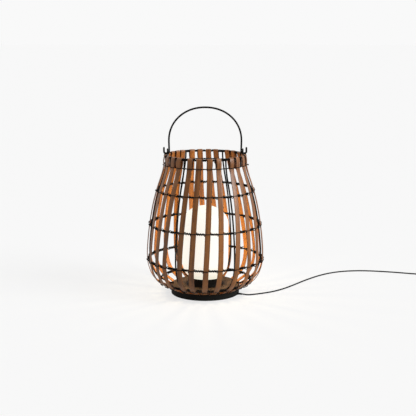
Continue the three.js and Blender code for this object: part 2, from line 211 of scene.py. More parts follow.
# The enclosed volume by summing the signed tetrahedra from the origin; a negative one means that
# the faces point in, and every face is turned round.
def meshObject(name, verts, loops, totals, uvs):
    starts = np.concatenate([[0], np.cumsum(totals)[:-1]])
    a, b = verts[loops[starts]], verts[loops[starts + 1]]
    c, d = verts[loops[starts + 2]], verts[loops[starts + totals - 1]]
    volume = np.einsum("ij,ij->i", a, np.cross(b, c)).sum()
    volume += np.einsum("ij,ij->i", a, np.cross(c, d)).sum()
    if volume < 0:
        place = np.arange(len(loops))
        owner = np.repeat(np.arange(len(totals)), totals)
        mirrored = starts[owner] + (totals[owner] - 1 - (place - starts[owner]))
        loops, uvs = loops[mirrored], uvs[mirrored]
    mesh = bpy.data.meshes.new(name)
    mesh.vertices.add(len(verts))
    mesh.vertices.foreach_set("co", np.ascontiguousarray(verts, np.float32).ravel())
    mesh.loops.add(len(loops))
    mesh.loops.foreach_set("vertex_index", loops.astype(np.int32))
    mesh.polygons.add(len(totals))
    mesh.polygons.foreach_set("loop_start", starts.astype(np.int32))
    mesh.polygons.foreach_set("use_smooth", np.ones(len(totals), bool))
    layer = mesh.uv_layers.new(name="UVMap")
    layer.uv.foreach_set("vector", np.ascontiguousarray(uvs, np.float32).ravel())
    mesh.update(calc_edges=True)
    mesh.validate()
    piece = bpy.data.objects.new(name, mesh)
    bpy.context.collection.objects.link(piece)
    return piece


def unit(v):
    return v / np.maximum(np.linalg.norm(v, axis=-1, keepdims=True), 1e-12)


# A round wire: at each station a circle in the plane across the path, set out from a reference
# direction made square to the path. Free ends are half balls, circles that shrink as a cosine
# while they move on as a sine.
def wireGrid(points, reference, radius, sides=10, closedPath=False):
    points = np.asarray(points, float)
    reference = np.broadcast_to(np.asarray(reference, float), points.shape)
    if closedPath:
        tangent = unit(np.roll(points, -1, 0) - np.roll(points, 1, 0))
        radii = np.full(len(points), radius)
    else:
        tangent = unit(np.gradient(points, axis=0))
        turn = np.radians([90, 72, 50, 25])
        shrink = radius * np.cos(turn)
        step = (radius * np.sin(turn))[:, None]
        start = points[0] - tangent[0] * step
        end = (points[-1] + tangent[-1] * step)[::-1]
        points = np.vstack([start, points, end])
        reference = np.vstack([np.repeat(reference[:1], 4, 0), reference,
                               np.repeat(reference[-1:], 4, 0)])
        tangent = np.vstack([np.repeat(tangent[:1], 4, 0), tangent,
                             np.repeat(tangent[-1:], 4, 0)])
        radii = np.concatenate([shrink, np.full(len(points) - 8, radius), shrink[::-1]])
        radii = np.maximum(radii, radius * 0.02)
    normal = unit(reference - np.einsum("ij,ij->i", reference, tangent)[:, None] * tangent)
    binormal = np.cross(tangent, normal)
    angle = np.linspace(0, 2 * math.pi, sides, endpoint=False)
    ring = (np.cos(angle)[None, :, None] * normal[:, None]
            + np.sin(angle)[None, :, None] * binormal[:, None])
    return points[:, None] + radii[:, None, None] * ring


def wire(name, points, reference, radius, sides=10, closedPath=False):
    grid = wireGrid(points, reference, radius, sides, closedPath)
    return surface(name, grid, closedPath)


# A turned piece: a profile of radius and height carried round the axis. It closes on itself, or
# runs from pole to pole.
def turned(name, profile, segments, closedProfile=True):
    profile = np.asarray(profile, float)
    poles = None
    if not closedProfile:
        poles = tuple(np.array([0, 0, z]) for z in (profile[0, 1], profile[-1, 1]))
        profile = profile[1:-1]
    angle = np.linspace(0, 2 * math.pi, segments, endpoint=False)
    radius, height = profile[:, :1], profile[:, 1:]
    grid = np.stack([radius * np.cos(angle), radius * np.sin(angle),
                     np.broadcast_to(height, (len(profile), segments))], -1)
    return surface(name, grid, closedProfile, poles)


# A superellipse: a circle's cosine and sine, each raised to a power that fills out the corners.
def oblong(count, power):
    angle = np.linspace(0, 2 * math.pi, count, endpoint=False)
    cosine, sine = np.cos(angle), np.sin(angle)
    return np.sign(cosine) * np.abs(cosine) ** power, np.sign(sine) * np.abs(sine) ** power


# Rounds each corner of an outline: the corner is replaced by a quarter-like curve, the parabola
# that touches both sides at the rounding distance, or at under half of a short side.
def roundedOutline(corners, rounding, steps=5, closedOutline=True):
    corners = np.asarray(corners, float)
    before, after = np.roll(corners, 1, 0), np.roll(corners, -1, 0)
    toBefore, toAfter = before - corners, after - corners
    reachBefore = np.minimum(rounding, 0.45 * np.linalg.norm(toBefore, axis=1))[:, None]
    reachAfter = np.minimum(rounding, 0.45 * np.linalg.norm(toAfter, axis=1))[:, None]
    start = corners + unit(toBefore) * reachBefore
    end = corners + unit(toAfter) * reachAfter
    t = np.linspace(0, 1, steps)[None, :, None]
    curve = ((1 - t) ** 2 * start[:, None] + 2 * t * (1 - t) * corners[:, None]
             + t**2 * end[:, None])
    if closedOutline:
        return curve.reshape(-1, 2)
    return np.vstack([corners[:1], curve[1:-1].reshape(-1, 2), corners[-1:]])


def joinPieces(name, pieces):
    verts, loops, totals, uvs = [], [], [], []
    offset = 0
    for piece in pieces:
        mesh = piece.data
        co = np.empty(len(mesh.vertices) * 3, np.float32)
        mesh.vertices.foreach_get("co", co)
        index = np.empty(len(mesh.loops), np.int32)
        mesh.loops.foreach_get("vertex_index", index)
        count = np.empty(len(mesh.polygons), np.int32)
        mesh.polygons.foreach_get("loop_total", count)
        uv = np.empty(len(mesh.loops) * 2, np.float32)
        mesh.uv_layers[0].uv.foreach_get("vector", uv)
        verts.append(co.reshape(-1, 3))
        loops.append(index + offset)
        totals.append(count)
        uvs.append(uv.reshape(-1, 2))
        offset += len(mesh.vertices)
        bpy.data.objects.remove(piece)
        bpy.data.meshes.remove(mesh)
    return meshObject(name, np.vstack(verts), np.concatenate(loops), np.concatenate(totals),
                      np.vstack(uvs))


def paint(piece, name, values):
    layer = piece.data.attributes.new(name, "FLOAT", "POINT")
    layer.data.foreach_set("value", np.ascontiguousarray(values, np.float32))


def finishPiece(piece, material, replaced=(), body=lantern):
    piece.data.materials.clear()
    piece.data.materials.append(material)
    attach(piece, body)
    if replaced:
        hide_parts(*replaced)
    return piece


# Materials.

def newMaterial(name):
    material = bpy.data.materials.new(name)
    material.use_nodes = True
    return material, material.node_tree, material.node_tree.nodes["Principled BSDF"]


# An input takes a link from another node's output, or a plain value.
def feed(tree, socket, value):
    if isinstance(value, bpy.types.NodeSocket):
        tree.links.new(value, socket)
    else:
        socket.default_value = value


def addNode(tree, kind, output, inputs=None):
    node = tree.nodes.new("ShaderNode" + kind)
    for name, value in (inputs or {}).items():
        feed(tree, node.inputs[name], value)
    return node.outputs[output]


def ramp(tree, factor, stops):
    colour = addNode(tree, "ValToRGB", "Color", {"Fac": factor})
    elements = colour.node.color_ramp.elements
    while len(elements) < len(stops):
        elements.new(0.5)
    for element, (place, tint) in zip(elements, stops):
        element.position = place
        element.color = (*tint, 1)
    return colour


def noise(tree, vector, scale, detail=4.0, roughness=0.55):
    return addNode(tree, "TexNoise", "Fac", {
        "Scale": scale, "Detail": detail, "Roughness": roughness, "Vector": vector})


def mapped(tree, value, low, high, fromLow=0.0, fromHigh=1.0):
    return addNode(tree, "MapRange", "Result", {
        "From Min": fromLow, "From Max": fromHigh, "To Min": low, "To Max": high, "Value": value})


def bump(tree, height, strength, distance, shader):
    relief = addNode(tree, "Bump", "Normal", {
        "Strength": strength, "Distance": distance, "Height": height})
    feed(tree, shader.inputs["Normal"], relief)


def mixColours(tree, factor, first, second, blend="MIX"):
    node = tree.nodes.new("ShaderNodeMix")
    node.data_type, node.blend_type = "RGBA", blend
    for index, value in ((0, factor), (6, first), (7, second)):
        feed(tree, node.inputs[index], value)
    return node.outputs[2]


def attribute(tree, name):
    factor = addNode(tree, "Attribute", "Fac")
    factor.node.attribute_name = name
    return factor


def objectPlace(tree):
    return addNode(tree, "TexCoord", "Object")


def objectHeight(tree, place):
    return addNode(tree, "SeparateXYZ", "Z", {"Vector": place})


rattanLook = {
    "dark": (0.090, 0.0295, 0.0055), "middle": (0.224, 0.0805, 0.0145),
    "light": (0.36, 0.145, 0.030), "fleck": (0.52, 0.46, 0.42),
    "roughness": (0.33, 0.47), "gloss": 0.55, "grainHeight": (0.45, 0.0004),
    # how close each pattern is, across the strip and along it
    "fibres": (420.0, 7.0, 1), "fine": (1900, 30, 1), "clouds": (45, 16, 1), "specks": (330, 110, 1),
}


# Rattan: long fibres from noise drawn out along the strip, slower clouds of tone over them, small
# dark flecks, painted shade darkening the rounded edges, and a lighter or darker cast for each strip
# from its own attribute, partly painted sheen and light.
def rattanMaterial(name):
    material, tree, shader = newMaterial(name)
    look = rattanLook
    uv = addNode(tree, "UVMap", "UV")
    uv.node.uv_map = "UVMap"

    def pattern(kind, detail, roughness=0.55):
        drawnOut = addNode(tree, "Mapping", "Vector", {"Scale": look[kind], "Vector": uv})
        return noise(tree, drawnOut, 1.0, detail, roughness)

    fibres, fine = pattern("fibres", 6.0, 0.62), pattern("fine", 3.0)
    colour = ramp(tree, fibres, [
        (0.28, look["dark"]), (0.5, look["middle"]), (0.74, look["light"]),
    ])
    for factor, stops in (
        (pattern("clouds", 3.0), [(0.3, (0.72, 0.7, 0.68)), (0.7, (1.18, 1.16, 1.12))]),
        (attribute(tree, "tone"), [(0.0, (0.8, 0.77, 0.74)), (1.0, (1.2, 1.2, 1.2))]),
        (pattern("specks", 2.0), [(0.27, look["fleck"]), (0.4, (1, 1, 1))]),
        # painted shade: the rounded edges, where the edge attribute nears one, are darkened
        (attribute(tree, "edge"), [(0.8, (1, 1, 1)), (0.985, (0.5, 0.44, 0.4))]),
    ):
        colour = mixColours(tree, 1.0, colour, ramp(tree, factor, stops), "MULTIPLY")
    feed(tree, shader.inputs["Base Color"], colour)
    feed(tree, shader.inputs["Roughness"], mapped(tree, fibres, *look["roughness"]))
    grain = tree.nodes.new("ShaderNodeMath")
    grain.operation = "ADD"
    feed(tree, grain.inputs[0], fibres)
    feed(tree, grain.inputs[1], fine)
    bump(tree, grain.outputs["Value"], *look["grainHeight"], shader)
    shader.inputs["Specular IOR Level"].default_value = look["gloss"]
    return material


# Painted or blackened metal: one dark colour broken by faint clouds, with a grain in the height.
def darkMaterial(name, low, high, roughness, metallic, grain, depth, strength=0.3, gloss=0.35):
    material, tree, shader = newMaterial(name)
    place = objectPlace(tree)
    clouds = noise(tree, place, 38.0, 5.0)
    feed(tree, shader.inputs["Base Color"], ramp(tree, clouds, [(0.3, low), (0.7, high)]))
    specks = noise(tree, place, grain, 3.0)
    feed(tree, shader.inputs["Roughness"], mapped(tree, specks, *roughness))
    shader.inputs["Metallic"].default_value = metallic
    shader.inputs["Specular IOR Level"].default_value = gloss
    bump(tree, specks, strength, depth, shader)
    return material


opalLook = {
    "colour": (0.42, 0.42, 0.40), "glow": (1.0, 1.0, 0.92), "edge": (1.0, 0.97, 0.8),
    "power": 0.765, "mottle": 0.02, "roughness": (0.36, 0.46), "footClear": 20 * mm,
}


# The lit opal: it glows almost white, a little warmer at the foot where less light reaches it.
def opalMaterial(name):
    material, tree, shader = newMaterial(name)
    look, power = opalLook, opalLook["power"]
    place = objectPlace(tree)
    low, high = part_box("diffuser")
    rise = mapped(tree, objectHeight(tree, place), 0, 1, low[2] + look["footClear"], high[2])
    glow = ramp(tree, rise, [
        (0.0, look["edge"]), (0.22, look["glow"]), (0.86, look["glow"]), (1.0, look["edge"]),
    ])
    mottle = noise(tree, place, 60.0, 3.0)
    strength = mapped(tree, mottle, (1 - look["mottle"]) * power, (1 + look["mottle"]) * power)
    feed(tree, shader.inputs["Emission Color"], glow)
    feed(tree, shader.inputs["Emission Strength"], strength)
    shader.inputs["Base Color"].default_value = (*look["colour"], 1)
    feed(tree, shader.inputs["Roughness"], mapped(tree, mottle, *look["roughness"]))
    bump(tree, mottle, 0.04, 0.0003, shader)
    return material


baseLook = {
    "side": ((0.0065, 0.0065, 0.0055), (0.0105, 0.0105, 0.009)),
    # top: dark and light ends of the painted warm glow on the flat top; turn: the heights where it
    # takes over from the wall's black
    "top": ((0.018, 0.011, 0.006), (0.052, 0.031, 0.018)), "turn": (27.3 * mm, 27.9 * mm),
}


def powderMaterial(name):
    return darkMaterial(name, *baseLook["side"], (0.56, 0.72), 0.0, 1600.0, 0.00012, 0.4, 0.1)


# The base's powder coat: black on the wall, and on the flat top a browner painted glow, warm light from
# the lamp and the lit rattan painted into the colour in noisy patches.
def baseMaterialWithPaintedGlow(name):
    material = powderMaterial(name)
    tree = material.node_tree
    socket = tree.nodes["Principled BSDF"].inputs["Base Color"]
    coat = socket.links[0].from_socket
    place = objectPlace(tree)
    # painted light: the glow that the lamp and the lit rattan throw on the top, in noisy patches
    topGlowNoise = noise(tree, place, 24.0, 6.0)
    paintedTopGlow = ramp(tree, topGlowNoise, [(0.35, baseLook["top"][0]), (0.68, baseLook["top"][1])])
    flat = mapped(tree, objectHeight(tree, place), 0, 1, *baseLook["turn"])
    feed(tree, socket, mixColours(tree, flat, coat, paintedTopGlow))
    return material


def plainMaterial(name, colour, roughness, metallic, grain, depth=0.00005):
    shade = tuple(c * 0.85 for c in colour)
    return darkMaterial(name, shade, colour, roughness, metallic, grain, depth)


rattan = rattanMaterial("oiledRattan")
blackSteel = darkMaterial("blackSteelWire", (0.0025, 0.0023, 0.002), (0.006, 0.0055, 0.005),
                          (0.42, 0.58), 0.0, 900.0, 0.00008, gloss=0.13)
bindingBlack = darkMaterial("annealedBindingWire", (0.0025, 0.002, 0.0016),
                            (0.006, 0.0048, 0.004), (0.5, 0.68), 0.0, 1400.0, 0.00006, gloss=0.11)
powderBlack = powderMaterial("blackPowderCoat")
# the base drum's coat, with painted warm light on its top
baseCoatWithPaintedGlow = baseMaterialWithPaintedGlow("blackCoatWithPaintedTopGlow")
cableBlack = darkMaterial("cableSheath", (0.004, 0.004, 0.004), (0.007, 0.007, 0.007),
                          (0.5, 0.64), 0.0, 700.0, 0.00005, gloss=0.14)
plugBlack = darkMaterial("mouldedBlack", (0.018, 0.018, 0.018), (0.026, 0.026, 0.026),
                         (0.4, 0.52), 0.0, 1200.0, 0.00006)
feltBlack = darkMaterial("blackFelt", (0.008, 0.008, 0.008), (0.02, 0.02, 0.02),
                         (0.9, 1.0), 0.0, 2600.0, 0.0004, 0.8)
castIron = plainMaterial("castIron", (0.14, 0.135, 0.13), (0.6, 0.8), 0.8, 420.0, 0.0004)
plainBrass = plainMaterial("turnedBrass", (0.62, 0.44, 0.17), (0.25, 0.38), 1.0, 300.0)
capMetal = plainMaterial("capMetal", (0.7, 0.7, 0.7), (0.22, 0.34), 1.0, 300.0)
bulbOpal = plainMaterial("bulbOpal", (0.9, 0.88, 0.82), (0.2, 0.3), 0.0, 200.0)
opal = opalMaterial("litOpal")
print("materials made")


# The basket.

basket = {
    "profile": [                 # outer face of the strips, radius and height in mm
        (107.4, 19.5), (119.3, 27), (141.2, 39), (157.3, 55), (168.6, 78), (175.6, 110),
        (174.6, 156), (168.2, 216), (157.8, 276), (145.2, 324), (131.8, 364), (124.6, 392),
        (121.7, 420),
    ],
    "slatWidth": 16 * mm, "slatThickness": 1.9 * mm, "foldClear": 0.8 * mm,
    "crown": 0.22 * mm, "drift": 1.1 * mm, "endRounding": 0.5 * mm,
    "foldEnd": (118.2, 392.5), "foldBulge": 2.2 * mm,
    "rimRadius": 117 * mm, "rimHeight": 420 * mm, "rimWire": 2 * mm,
    "hoopWire": 2.1 * mm, "hoopClear": 0.7 * mm, "hoopWave": 0.7 * mm,
    "rodWire": 2.3 * mm, "gap": 0.1 * mm,
    # each hoop's height, and how much further up its back hangs than its front, in mm
    "hoops": {"upper": (318.4, 2.0), "middle": (215.2, 1.2),
              "lower": (108.2, 0.4), "bottom": (38.0, 2.0)},
    "tieHeight": 393.5, "tieLift": 1.2 * mm, "tieEase": 3.4 * mm,
    "bindingWire": 1.05 * mm, "bindingClear": 0.35 * mm, "lashingPitch": 5.2 * mm,
    "lashingEase": 2.6 * mm, "rimPitch": 2.4 * mm,
}
slatAzimuths = [                 # degrees from the front, at the rim and at the base
    (-21, -26), (-8.3, -14.4), (6.5, -0.8), (18.8, 13.2),
    (39.2, 29.5), (51, 45.3), (66.5, 59), (82.2, 77),
    (103, 91.5), (116.5, 101.5), (132.5, 115.5), (144.6, 130),
    (163.8, 151.5), (175.5, 165), (187.9, 178.2), (200.3, 189.5),
    (216.9, 210.5), (226.5, 225.6), (238.5, 243.5), (251.5, 256.5),
    (280, 276), (296.5, 292), (310.2, 305.5), (322.3, 316.2),
]
# Each strip's own tone with painted light in it: set one by one higher or lower to paint in the sheen
# and light that each strip catches.
slatTonesWithPaintedLight = [                    # 0 dark to 1 pale, one for each strip
    0.34, 0.16, 0.55, 0.86, 0.46, 0.74, 0.6, 0.5, 0.62, 0.4, 0.55, 0.7,
    0.45, 0.6, 0.5, 0.68, 0.42, 0.58, 0.5, 0.64, 0.46, 0.68, 0.62, 0.74,
]
rodAzimuths = [(31.8, 30.3), (90, 90), (152, 150.5), (211.6, 213.5), (270, 270), (328.2, 329.9)]

faceLine = smoothLine(basket["profile"], 40) * mm
faceTangent = unit(np.gradient(faceLine, axis=0))
faceNormal = np.stack([faceTangent[:, 1], -faceTangent[:, 0]], 1)


# The point on the strips' outer face at a height, and the face's outward direction there.
def onFace(height):
    z = faceLine[:, 1]
    point = np.array([np.interp(height, z, faceLine[:, 0]), height])
    normal = unit(np.array([np.interp(height, z, faceNormal[:, k]) for k in (0, 1)]))
    return point, normal


def bottomShare(height):
    low = basket["profile"][0][1] * mm
    return np.clip((height - low) / (basket["rimHeight"] - low), 0, 1)


def slatAzimuthAt(pair, height):
    return np.radians(pair[1] + (pair[0] - pair[1]) * bottomShare(height))


# Slow, smooth unevenness: a few sines of rising frequency with seeded phases.
def unevenness(s, rng, waves=(1, 2, 3, 5), size=1.0):
    total = np.zeros_like(s)
    for wave in waves:
        total += np.sin(2 * math.pi * (wave * s + rng.random())) / wave
    return size * total / len(waves)


# A strip's centre line in radius and height: up the outside, half a circle over the rim wire,
# and down inside to just past the tie wire.
def slatLine(foldEnd):
    half = basket["slatThickness"] / 2
    up = faceLine - faceNormal * half
    turn = np.radians(np.linspace(0, 180, 15))[1:]
    reach = basket["rimWire"] + basket["foldClear"] + half
    over = np.stack([basket["rimRadius"] + reach * np.cos(turn),
                     basket["rimHeight"] + reach * np.sin(turn)], 1)
    end = np.array(foldEnd) * mm + np.array([-half, 0])
    down = over[-1] + (end - over[-1]) * np.linspace(0, 1, 9)[1:, None]
    line = np.vstack([up[::3], up[-1:], over, down])
    keep = np.concatenate([[True], np.linalg.norm(np.diff(line, axis=0), axis=1) > 1e-6])
    return line[keep]


# A strip: a flattened section, a superellipse of power five across and thick, crowned on its
# outer side, carried along the centre line and turned to its azimuth, which leans with height.
# Near the rim it bulges outwards as half a sine.
def makeSlat(index, pair, rng):
    foldEnd = (basket["foldEnd"][0], basket["foldEnd"][1] + rng.uniform(-3.5, 1.5))
    line = slatLine(foldEnd)
    tangent = unit(np.gradient(line, axis=0))
    normal = np.stack([tangent[:, 1], -tangent[:, 0]], 1)
    length = lengthAlong(line)
    s = length / length[-1]
    width = basket["slatWidth"] * (1 + unevenness(s, rng, size=0.045) + rng.uniform(-0.03, 0.03))
    thick = basket["slatThickness"] * (1 + unevenness(s, rng, size=0.05))
    drift = unevenness(s, rng, (2, 3, 5), basket["drift"])
    twist = unevenness(s, rng, (1, 2, 4), 0.045)
    crest = np.argmax(line[:, 1])
    tie = basket["tieHeight"] * mm
    bulge = np.clip((line[:, 1] - tie) / (line[crest, 1] - tie), 0, 1)
    bulge[crest:] = 0
    fold = basket["foldBulge"] * (0.6 + 0.8 * rng.random()) * np.sin(math.pi * bulge)
    skew = 0.5 * rng.uniform(-1, 1) * fold
    ends = np.minimum(length, length[-1] - length) / basket["endRounding"]
    taper = np.sqrt(np.clip(1 - (1 - np.clip(ends, 0, 1)) ** 2, 0.0025, 1))
    across, rise = oblong(28, 2 / 5)
    a = (width * (0.96 + 0.04 * taper))[:, None] / 2 * across
    crown = basket["crown"] * (1 - across**2) * (rise > 0)
    h = ((thick * taper)[:, None] / 2 * rise + crown * taper[:, None]
         + a * np.sin(twist)[:, None] + fold[:, None])
    radius = line[:, :1] + normal[:, :1] * h
    height = line[:, 1:] + normal[:, 1:] * h
    azimuth = slatAzimuthAt(pair, line[:, 1]) + (drift + skew) / line[:, 0]
    sine, cosine = np.sin(azimuth)[:, None], np.cos(azimuth)[:, None]
    grid = np.stack([radius * sine + a * cosine, -radius * cosine + a * sine, height], -1)
    perimeter = 2 * basket["slatWidth"] + 2 * basket["slatThickness"]
    piece = surface(f"rattanStrip{index:02d}", grid, uvScale=(perimeter, length[-1]))
    uv = np.empty(len(piece.data.loops) * 2, np.float32)
    piece.data.uv_layers[0].uv.foreach_get("vector", uv)
    uv = uv.reshape(-1, 2) + np.array([0.173, 0.911]) * index
    piece.data.uv_layers[0].uv.foreach_set("vector", uv.astype(np.float32).ravel())
    # tone: the strip's own cast, with painted sheen and light
    paint(piece, "tone", np.full(len(piece.data.vertices), slatTonesWithPaintedLight[index - 1]))
    # the edge attribute marks the rounded sides that get painted shade
    edge = np.broadcast_to(np.abs(across), (len(line), len(across))).ravel()
    paint(piece, "edge", np.concatenate([edge, [0, 0]]))
    return finishPiece(piece, rattan, (f"slat_{index:02d}",))


# The place of a point given in radius and height at an azimuth, turning from the front, -Y.
def around(radius, height, azimuth):
    radius, height, azimuth = np.broadcast_arrays(radius, height, azimuth)
    return np.stack([radius * np.sin(azimuth), -radius * np.cos(azimuth), height], -1)


# A hoop hangs a little uneven: a tilt towards the back, and a slow wave in height.
def hoopSway(azimuth, seed, tilt=0.0):
    rng = np.random.default_rng(seed)
    wave = unevenness(azimuth / (2 * math.pi), rng, (2, 3, 5, 7), basket["hoopWave"])
    return wave - tilt * mm / 2 * np.cos(azimuth)


def hoopCentre(height):
    face, normal = onFace(height)
    inside = basket["slatThickness"] + basket["hoopClear"] + basket["hoopWire"]
    return face - normal * inside, normal


def makeHoop(name, height, tilt, seed):
    centre, _ = hoopCentre(height * mm)
    azimuth = np.linspace(0, 2 * math.pi, 240, endpoint=False)
    points = around(centre[0], centre[1] + hoopSway(azimuth, seed, tilt), azimuth)
    piece = wire(f"{name}Hoop", points, (0, 0, 1), basket["hoopWire"], 12, True)
    return finishPiece(piece, blackSteel, (f"hoop_{name}",))


# The angle of each neighbour round the ring, the last one's a full turn on from the first.
def following(azimuths):
    return np.append(azimuths[1:], azimuths[0] + 2 * math.pi)


# Where the strips stand at a height, in rising azimuth, and half the angle that each one covers.
def stripSpread(height, extra):
    face, _ = onFace(height)
    azimuths = np.mod([slatAzimuthAt(pair, height) for pair in slatAzimuths], 2 * math.pi)
    return np.sort(azimuths), (basket["slatWidth"] / 2 + extra) / face[0]


# How much further out the flat face of a strip is at an angle from its middle.
def flatLift(radius, angle):
    return radius * (1 / np.cos(angle) - 1)


# Binding wire: flat over each strip, and wound round a core wire in each gap. Its offset from the
# core is a distance and an angle; the angle makes whole turns across the gap, and the distance
# eases from the strip's outer face down to the core and back.
def makeLashing(name, height, tilt, seed):
    height = height * mm
    centre, normal = hoopCentre(height)
    thin = basket["bindingWire"]
    over = (basket["hoopWire"] + basket["hoopClear"] + basket["slatThickness"] + thin
            + basket["bindingClear"])
    close = basket["hoopWire"] + thin + 0.05 * mm
    azimuths, half = stripSpread(height, 0.6 * mm)
    onStrip = np.linspace(-half, half, 7)[:-1]
    edge = over + flatLift(centre[0], half)
    rng = np.random.default_rng(seed + 40)
    spans = []
    for here, after in zip(azimuths, following(azimuths)):
        spans.append(np.stack([here + onStrip, over + flatLift(centre[0], onStrip), np.zeros(6)], 1))
        gap = after - here - 2 * half
        width = gap * centre[0]
        turns = max(1, int(round(width / basket["lashingPitch"])))
        t = np.linspace(0, 1, 14 * turns + 6, endpoint=False)
        ease = eased(np.minimum(t, 1 - t) * width / basket["lashingEase"])
        angle = 2 * math.pi * turns * (t + 0.03 * np.sin(2 * math.pi * t) * rng.uniform(-1, 1))
        spans.append(np.stack([here + half + gap * t, edge + (close - edge) * ease, angle], 1))
    azimuth, distance, angle = np.vstack(spans).T
    direction = around(1.0, 0.0, azimuth)
    up = np.array([0.0, 0.0, 1.0])
    outward = normal[0] * direction + normal[1] * up
    along = -normal[1] * direction + normal[0] * up
    arm = np.cos(angle)[:, None] * outward + np.sin(angle)[:, None] * along
    core = around(centre[0], centre[1] + hoopSway(azimuth, seed, tilt), azimuth)
    piece = wire(f"{name}Lashing", core + distance[:, None] * arm, arm, thin, 8, True)
    return finishPiece(piece, bindingBlack, (f"lashing_{name}",))


def makeBasket():
    rng = np.random.default_rng(12)
    for index, pair in enumerate(slatAzimuths, 1):
        makeSlat(index, pair, rng)
    for seed, (name, (height, tilt)) in enumerate(basket["hoops"].items(), 1):
        makeHoop(name, height, tilt, seed)
        makeLashing(name, height, tilt, seed)
    print("basket strips, hoops and lashings made")


makeBasket()


# Rim.

def makeRim():
    azimuth = np.linspace(0, 2 * math.pi, 240, endpoint=False)
    points = around(basket["rimRadius"], basket["rimHeight"], azimuth)
    ring = wire("rimRing", points, (0, 0, 1), basket["rimWire"], 12, True)
    finishPiece(ring, blackSteel, ("rim_ring",))


# The tie at the foot of the fold: two thin wires, one over the strips and one inside them,
# that close together in each gap and twist once round each other there.
def makeRimTie():
    height = basket["tieHeight"] * mm
    face, _ = onFace(height)
    thin, clear = basket["bindingWire"], basket["bindingClear"]
    outerReach = face[0] + thin + clear
    innerReach = basket["foldEnd"][0] * mm - basket["slatThickness"] - thin - clear
    middle = (outerReach + innerReach) / 2
    azimuths, half = stripSpread(height, 0.4 * mm)
    onStrip = np.linspace(-half, half, 7)[:-1]
    t = np.linspace(0, 1, 26, endpoint=False)
    turn = 2 * math.pi * np.clip((t - 0.2) / 0.6, 0, 1)
    strands = []
    for side, reach in ((1, outerReach), (-1, innerReach)):
        offset = side * (thin + 0.05 * mm)
        edge = reach + flatLift(face[0], half)
        spans = []
        for here, after in zip(azimuths, following(azimuths)):
            spans.append(np.stack([here + onStrip, reach + flatLift(face[0], onStrip), np.zeros(6)], 1))
            gap = after - here - 2 * half
            ease = eased(np.minimum(t, 1 - t) * gap * face[0] / basket["tieEase"])
            radius = edge * (1 - ease) + ease * (middle + offset * np.cos(turn))
            spans.append(np.stack([here + half + gap * t, radius, ease * offset * np.sin(turn)], 1))
        azimuth, radius, rise = np.vstack(spans).T
        points = around(radius, height + basket["tieLift"] + rise + hoopSway(azimuth, 9), azimuth)
        strands.append(wire("strand", points, (0, 0, 1), thin, 8, True))
    finishPiece(joinPieces("rimTie", strands), bindingBlack, ("lashing_rim",))


atRim = np.sort(np.mod(np.radians([pair[0] for pair in slatAzimuths]), 2 * math.pi))


# Thin wire wound on the rim wire between the strips, a helix with a few close turns in each gap.
def makeRimBinding():
    rng = np.random.default_rng(5)
    ring, thin = basket["rimRadius"], basket["bindingWire"]
    half = (basket["slatWidth"] / 2 + 1.4 * mm) / ring
    reach = basket["rimWire"] + thin + 0.03 * mm
    coils = []
    for here, after in zip(atRim + half, following(atRim) - half):
        width = (after - here) * ring
        middle = (here + after) / 2
        atEye = any(abs(middle - eyeAt) < 0.14 for eyeAt in (math.pi / 2, 1.5 * math.pi))
        if width < 3 * mm or atEye:
            continue
        turns = max(2, int(width / basket["rimPitch"]))
        t = np.linspace(0, 1, turns * 14)
        angle = 2 * math.pi * turns * t + rng.uniform(0, 6)
        azimuth = here + (after - here) * t
        arm = around(np.cos(angle), np.sin(angle), azimuth)
        points = around(ring, basket["rimHeight"], azimuth) + reach * arm
        coils.append(wire("turns", points, arm, thin, 7))
    finishPiece(joinPieces("rimBinding", coils), bindingBlack)


# Two strands twisted round each other along a line: each is a helix, half a turn apart.
def twistedPair(line, pitch, thin):
    length = lengthAlong(line)
    tangent = unit(np.gradient(line, axis=0))
    side = unit(np.cross(tangent, (0.31, 0.17, 0.9)))
    rise = np.cross(side, tangent)
    strands = []
    for start in (0, math.pi):
        angle = start + 2 * math.pi * length / pitch
        arm = np.cos(angle)[:, None] * side + np.sin(angle)[:, None] * rise
        strands.append(wire("strand", line + arm * (thin + 0.04 * mm), arm, thin, 7))
    return strands


twists = {
    "stayPitch": 6.5 * mm, "stayGap": 17 * mm, "stayInset": 0.6 * mm, "tailPitch": 4.5 * mm,
    # free ends of wire: azimuth in degrees, height, length, then how far it leans out and sideways
    "tails": [(12.6, 415, 21, 0.35, 0.25), (86.5, 394, 5.5, 1.2, 0.3), (47, 318, 8, 0.8, -0.5),
              (262, 216, 8, 0.7, 0.4), (150, 216, 9, 0.6, 0.5), (330, 109, 8, 0.6, -0.4),
              (204, 318, 9, 0.7, 0.3), (109, 40, 8, 0.5, 0.4)],
}


# Stays of twisted wire between the rim wire and the tie, in the narrow gaps at the two sides; dark wire
# put there also in place of the shade inside the folds in those gaps.
def makeStaysForFoldShade():
    top, bottom = basket["rimHeight"] - 1 * mm, basket["tieHeight"] * mm + 1 * mm
    strands = []
    for here, after in zip(atRim, following(atRim)):
        middle = (here + after) / 2
        width = (after - here) * basket["rimRadius"] - basket["slatWidth"]
        if width > twists["stayGap"] or abs(math.sin(middle)) < 0.55:
            continue
        t = np.linspace(0, 1, 40)
        radius = basket["rimRadius"] + basket["rimWire"] + twists["stayInset"] + 2 * mm * t
        line = around(radius, top + (bottom - top) * t, middle + 0.012 * np.sin(5 * t + here))
        strands += twistedPair(line, twists["stayPitch"], basket["bindingWire"])
    finishPiece(joinPieces("rimStaysForFoldShade", strands), bindingBlack)


